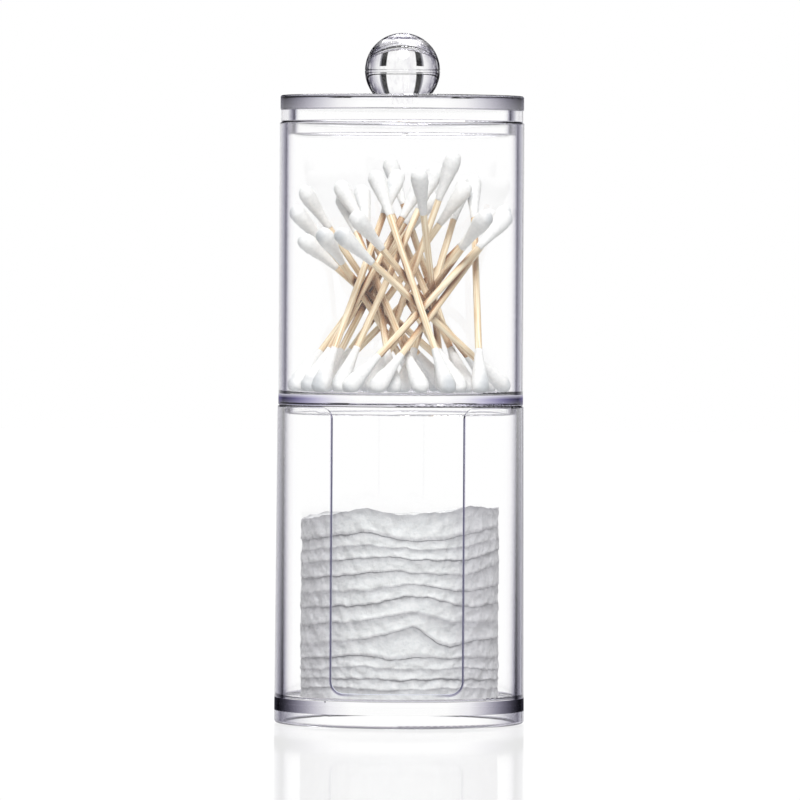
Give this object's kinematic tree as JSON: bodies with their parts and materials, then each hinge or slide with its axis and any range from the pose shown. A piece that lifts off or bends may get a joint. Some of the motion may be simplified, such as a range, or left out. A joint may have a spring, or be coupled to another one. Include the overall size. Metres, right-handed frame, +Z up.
{
  "type": "cotton swab storage jar",
  "caption": "Clear two-tier jar with a ball-knobbed lift-off lid: cotton pads stack behind the front slot of the lower tier, and cotton swabs stand in the upper tier.",
  "frame": {"origin": "centre of the foot ring's underside, on the table", "axes": "+Z up along the jar's axis, -Y out of the front slot, +X to the right as seen from the front"},
  "size_m": [0.0732, 0.0732, 0.2021],
  "materials": {
    "clear_plastic": "clear injection-moulded acrylic, polished",
    "cotton": "bleached cotton wool, matt and fibrous",
    "stick_wood": "turned pale birch, unvarnished"
  },
  "bodies": {
    "pad_holder": {"pad_holder": "clear_plastic", "pad_01": "cotton", "pad_02": "cotton", "pad_03": "cotton", "pad_04": "cotton", "pad_05": "cotton", "pad_06": "cotton", "pad_07": "cotton", "pad_08": "cotton", "pad_09": "cotton", "pad_10": "cotton", "pad_11": "cotton", "pad_12": "cotton", "pad_13": "cotton"},
    "swab_jar": {"swab_jar": "clear_plastic", "swab_sticks_1": "stick_wood", "swab_sticks_2": "stick_wood", "swab_sticks_3": "stick_wood", "swab_sticks_4": "stick_wood", "swab_sticks_5": "stick_wood", "swab_sticks_6": "stick_wood", "swab_sticks_7": "stick_wood", "swab_sticks_8": "stick_wood", "swab_sticks_9": "stick_wood", "swab_buds_1": "cotton", "swab_buds_2": "cotton", "swab_buds_3": "cotton", "swab_buds_4": "cotton", "swab_buds_5": "cotton", "swab_buds_6": "cotton", "swab_buds_7": "cotton", "swab_buds_8": "cotton", "swab_buds_9": "cotton"},
    "lid": {"lid": "clear_plastic", "knob": "clear_plastic"}
  },
  "joints": [
    {"name": "jar_lift", "type": "slide", "parent": "pad_holder", "child": "swab_jar", "axis": [0, 0, 1], "range_m": [0, 0.06]},
    {"name": "lid_lift", "type": "slide", "parent": "swab_jar", "child": "lid", "axis": [0, 0, 1], "range_m": [0, 0.08]}
  ]
}
